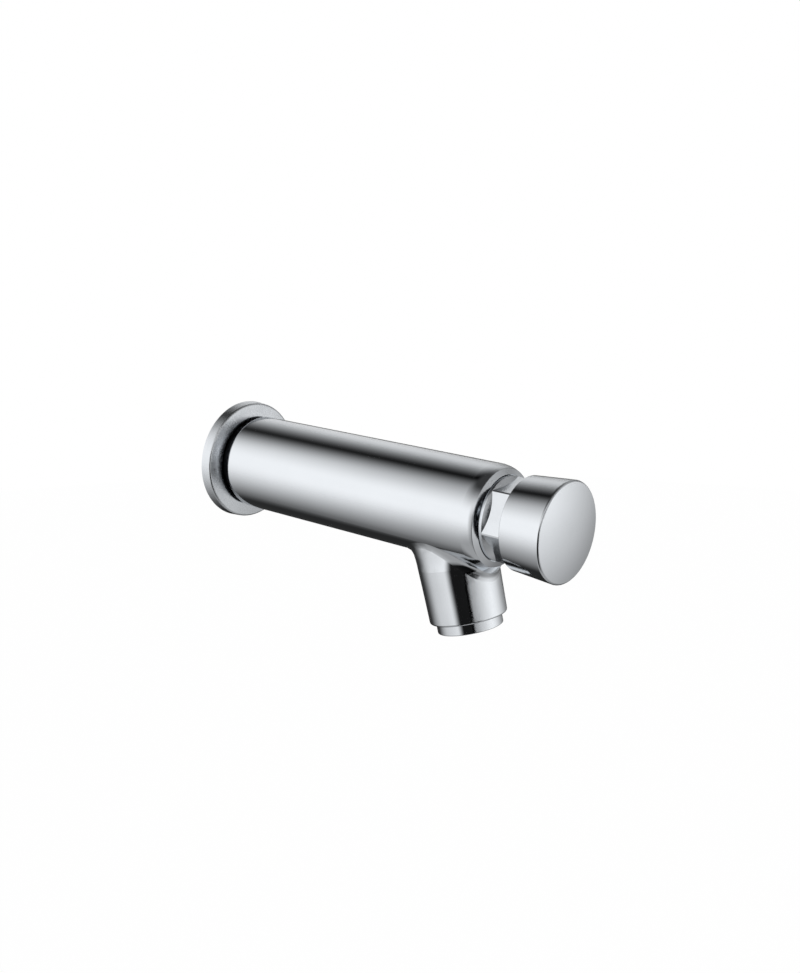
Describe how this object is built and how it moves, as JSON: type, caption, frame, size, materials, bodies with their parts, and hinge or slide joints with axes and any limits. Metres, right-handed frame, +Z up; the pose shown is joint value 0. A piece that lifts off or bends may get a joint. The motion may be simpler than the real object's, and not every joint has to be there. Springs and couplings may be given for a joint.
{
  "type": "push timed tap",
  "caption": "Wall-mounted push tap: a round body with a loose wall flange, a downward spout with an aerator, and a flared push button on a hexagonal gland that comes back slowly by itself.",
  "frame": {"origin": "on the tap's axis at the wall plane, inside the inlet thread", "axes": "+Y goes into the wall along the tap's axis, so the tap stands out along -Y; +Z is up, +X is to the right for someone who faces the wall"},
  "size_m": [0.0538, 0.1949, 0.08],
  "materials": {
    "chrome_plate": "bright chrome plating",
    "plain_brass": "machined, unplated",
    "white_plastic": "moulded acetal",
    "black_rubber": "smooth nitrile rubber",
    "grey_foam": "closed-cell foam rubber",
    "fibre_washer": "pressed fibre",
    "stainless": "bright stainless steel"
  },
  "bodies": {
    "tap": {"tap_body": "chrome_plate", "inlet_nipple": "plain_brass", "nipple_seal": "black_rubber", "inlet_strainer": "stainless", "flow_regulator": "white_plastic", "cartridge_sleeve": "plain_brass", "sleeve_rear_ring": "black_rubber", "sleeve_front_ring": "black_rubber", "gland_washer": "fibre_washer", "gland_nut": "chrome_plate", "stem_ring": "black_rubber", "stem_bush": "white_plastic", "wiper_ring": "black_rubber", "metering_pin": "stainless", "return_spring": "stainless", "aerator_housing": "chrome_plate", "aerator_gasket": "black_rubber", "aerator_insert": "white_plastic", "aerator_screen": "stainless"},
    "flange": {"wall_flange": "chrome_plate", "flange_ring": "black_rubber", "wall_gasket": "grey_foam"},
    "plunger": {"push_button": "chrome_plate", "button_screw": "stainless", "stem": "plain_brass", "piston": "white_plastic", "piston_seal": "black_rubber", "piston_clip": "stainless", "valve_washer": "black_rubber", "valve_cup": "plain_brass", "valve_nut": "plain_brass"}
  },
  "joints": [
    {"name": "button_push", "type": "slide", "parent": "tap", "child": "plunger", "axis": [0, 1, 0], "range_m": [0, 0.008], "stiffness_N_per_m": 1140, "springref_m": -0.007, "deforming": ["return_spring"]},
    {"name": "flange_slide", "type": "slide", "parent": "tap", "child": "flange", "axis": [0, -1, 0], "range_m": [0, 0.0035]}
  ]
}
